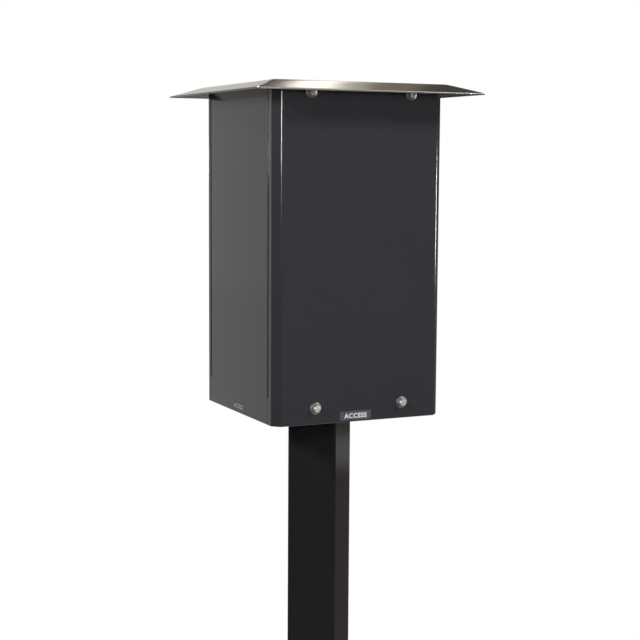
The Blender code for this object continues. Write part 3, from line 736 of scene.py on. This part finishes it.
def foil(name):
    """Label foil: a satin print of dark violet grey with a fine speck."""
    paint = Paint(name, Metallic=0.1)
    speck = paint.noise(700, 3)
    paint.drive(Base_Color=paint.blend(speck, (0.066, 0.060, 0.076), (0.088, 0.082, 0.098)))
    paint.drive(Roughness=0.38 + speck * 0.15)
    return paint.material


def lettering(name, text, size, turn, middle, paint, depth=0.00006, bold=0.0):
    """Filled characters as a thin relief, their middle at a place; turn holds the directions of
    reading, of the letters' height and of their face."""
    letters = bpy.data.curves.new(name, "FONT")
    letters.body, letters.size, letters.extrude = text, size, depth
    letters.resolution_u, letters.offset, letters.space_character = 4, bold, 1.1
    drawn = bpy.data.objects.new(name + "_drawn", letters)
    bpy.context.scene.collection.objects.link(drawn)
    bpy.context.view_layer.update()
    finished_view = bpy.context.evaluated_depsgraph_get()
    mesh = bpy.data.meshes.new_from_object(drawn.evaluated_get(finished_view))
    bpy.data.objects.remove(drawn)
    points = np.empty(3 * len(mesh.vertices))
    mesh.vertices.foreach_get("co", points)
    points = points.reshape(-1, 3)
    centre = Vector((points.min(0) + points.max(0)) / 2)
    place = Matrix(turn).transposed().to_4x4()
    mesh.transform(Matrix.Translation(middle) @ place @ Matrix.Translation(-centre))
    mesh.materials.clear()
    mesh.materials.append(paint)
    piece = bpy.data.objects.new(name, mesh)
    bpy.context.scene.collection.objects.link(piece)
    return piece


def ink(name, colour):
    """Printing ink or enamel, a little worn."""
    paint = Paint(name)
    wear = paint.noise(900, 3)
    paint.drive(Base_Color=paint.blend(wear, [c * 0.85 for c in colour], colour))
    paint.drive(Roughness=0.35 + wear * 0.2)
    return paint.material


toward_front = ((1, 0, 0), (0, 0, 1), (0, -1, 0))
toward_left = ((0, -1, 0), (0, 0, 1), (-1, 0, 0))
toward_rear = ((-1, 0, 0), (0, 0, 1), (0, 1, 0))
face, print_gap = housing_high.x, 0.00005
label_x, label_z, print_height = -0.006, housing_low.z + 0.0092, 0.00058
front_label = plate("front_label", (0.026, 0.0070), 0.0012, (label_x, label_z), -face - print_gap,
                    foil("label_foil"))
front_print = lettering("front_print", "ACCESS", 0.0100, toward_front,
                        (label_x, -face - print_height, label_z),
                        ink("white_ink", (0.70, 0.71, 0.74)), bold=0.0003)
side_print = lettering("side_print", "ACCESS", 0.0092, toward_left,
                       (-face - print_gap, 0.0, housing_low.z + 0.0100),
                       ink("grey_ink", (0.42, 0.43, 0.45)), bold=0.0001)
for label in (front_label, front_print, side_print):
    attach(label, "head")


# ---- Reader --------------------------------------------------------------------------------------
# A thick stainless bezel on a gasket, with twelve dished metal keys, a light guide and a black
# plastic window over the card antenna. Two security screws hold it to the rear panel; its board
# and buzzer sit in a back box inside.

def moulded(name, colour, rough=0.42, grain=0.00003):
    """Moulded plastic: even colour with a fine spark-eroded grain."""
    paint = Paint(name)
    fine, slow = paint.noise(1600, 2), paint.noise(20, 2)
    low, high = [c * 0.92 for c in colour], [min(1, c * 1.08) for c in colour]
    paint.drive(Base_Color=paint.blend(slow, low, high))
    paint.drive(Roughness=rough + (fine - 0.5) * 0.12)
    paint.bump(fine, grain)
    return paint.material


bezel_steel = brushed("brushed_bezel_stainless", "Z", (0.56, 0.55, 0.53), 0.28)
key_steel = brushed("brushed_key_stainless", "X", (0.60, 0.59, 0.57), 0.24)
black_plastic = moulded("black_plastic", (0.016, 0.016, 0.018))
refined("reader_bezel", bezel_steel, 0.0003)
bezel_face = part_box("reader_bezel")[1].y


def stacked(name, half, radius, middle, rows, paint, steps=6):
    """A block facing +Y from rounded rectangles: each row is an inset and a height."""
    grid = []
    for inset, y in rows:
        outline = round_box(half[0] - inset, half[1] - inset, max(radius - inset, 0.0003), steps,
                            0.0002, middle)
        grid.append(np.column_stack((outline[:, 0], np.full(len(outline), y), outline[:, 1])))
    return surface(name, np.stack(grid), paint, capped=True)


window_low, window_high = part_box("proximity_window")
window_half = ((window_high.x - window_low.x) / 2, (window_high.z - window_low.z) / 2)
window_z = (window_low.z + window_high.z) / 2
window_top = window_high.y
window = stacked("antenna_window", window_half, 0.0024, (0, window_z),
                 [(0, window_low.y), (0, window_top - 0.0005), (0.0002, window_top - 0.0001),
                  (0.0006, window_top), (0.0030, window_top), (0.0034, window_top - 0.0004),
                  (0.0060, window_top - 0.0004)],
                 moulded("gloss_black_plastic", (0.010, 0.010, 0.012), 0.14, 0.000004))
stands_for(window, "proximity_window")

lens_low, lens_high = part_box("status_light_lens")
lens_paint = Paint("frosted_light_guide", Coat_Weight=0.6)
lens_cloud = lens_paint.noise(120, 3)
lens_paint.drive(Base_Color=lens_paint.blend(lens_cloud, (0.42, 0.47, 0.49), (0.60, 0.64, 0.66)),
                 Roughness=0.22 + lens_cloud * 0.2)
lens_half = ((lens_high.x - lens_low.x) / 2, (lens_high.z - lens_low.z) / 2)
lens = stacked("light_guide", lens_half, 0.0021, (0, (lens_low.z + lens_high.z) / 2),
               [(0, lens_low.y), (0, lens_high.y - 0.0004), (0.0002, lens_high.y - 0.0001),
                (0.0006, lens_high.y)], lens_paint.material)
stands_for(lens, "status_light_lens")


legend_enamel = ink("legend_enamel", (0.030, 0.030, 0.032))
key_marks = {"key_star": "*", "key_hash": "#", **{f"key_{n}": str(n) for n in range(10)}}
for key, mark in key_marks.items():
    low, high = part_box(key)
    middle = ((low.x + high.x) / 2, (low.z + high.z) / 2)
    flange, flange_thick, top = 0.0015, 0.0021, high.y
    half = (high.x - low.x) / 2 - flange
    neck, dish = low.y + flange_thick, top - 0.00012
    cap = stacked(key + "_cap", (half, half), 0.0030, middle,
                  [(-flange, low.y), (-flange, neck), (0, neck), (0, top - 0.0008),
                   (0.0001, top - 0.0004), (0.0004, top - 0.0001), (0.0008, top),
                   (0.0016, top - 0.00002), (0.0040, dish), (0.0062, top - 0.00016)],
                  key_steel)
    stands_for(cap, key)
    legend = lettering(key + "_legend", mark, 0.0095, toward_rear, (middle[0], dish, middle[1]),
                       legend_enamel)
    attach(legend, key)

for screw in ("lower", "upper"):
    node = "reader_screw_" + screw
    low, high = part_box(node)
    head, shank, flat = (high.x - low.x) / 2, 0.0020, 0.00125
    tip = low.y - bezel_face
    rows = [(0.0004, tip, "round"), (shank, tip + 0.0005, "round"), (shank, 0.0003, "round"),
            (head, 0.0003, "round"), (head, 0.0008, "round"), (head * 0.93, 0.0014, "round"),
            (head * 0.78, 0.0019, "round"), (head * 0.56, 0.0023, "round"),
            (flat * 1.20, 0.0025, "hexagonal"), (flat, 0.0023, "hexagonal"),
            (flat, 0.0008, "hexagonal"), (0.0004, 0.0006, "round")]
    centre = ((low.x + high.x) / 2, bezel_face, (low.z + high.z) / 2)
    stands_for(turning(node + "_fine", rows, centre, bright_steel, facing=1), node)

refined("reader_back_box", black_plastic)
dress("buzzer", black_plastic)
board_paint = Paint("solder_mask", Coat_Weight=0.4)
board_tracks = board_paint.noise(220, 1, (1, 1, 6))
board_paint.drive(Base_Color=board_paint.blend(board_tracks, (0.008, 0.075, 0.030),
                                               (0.015, 0.14, 0.055)))
board_paint.drive(Roughness=0.30 + board_tracks * 0.2)
dress("reader_board", board_paint.material)


# ---- Equipment inside ----------------------------------------------------------------------------
# A zinc mounting plate with a 35 mm rail that carries the supply, the controller, the door relay
# and the terminals, the reader's cable, and the tamper switch beside the front window.

grey_plastic = moulded("light_grey_plastic", (0.36, 0.37, 0.38), 0.48)
cream_plastic = moulded("cream_plastic", (0.70, 0.66, 0.58), 0.35)
for node in ("mounting_plate", "din_rail"):
    refined(node, zinc_paint)
for node in ("power_supply", "controller_module", "relay_module", "terminal_block"):
    refined(node, grey_plastic, 0.0005)
refined("tamper_switch", black_plastic)
refined("tamper_plunger", cream_plastic, 0.0002)
dress("reader_harness", rubber("cable_jacket", (0.014, 0.014, 0.015)))
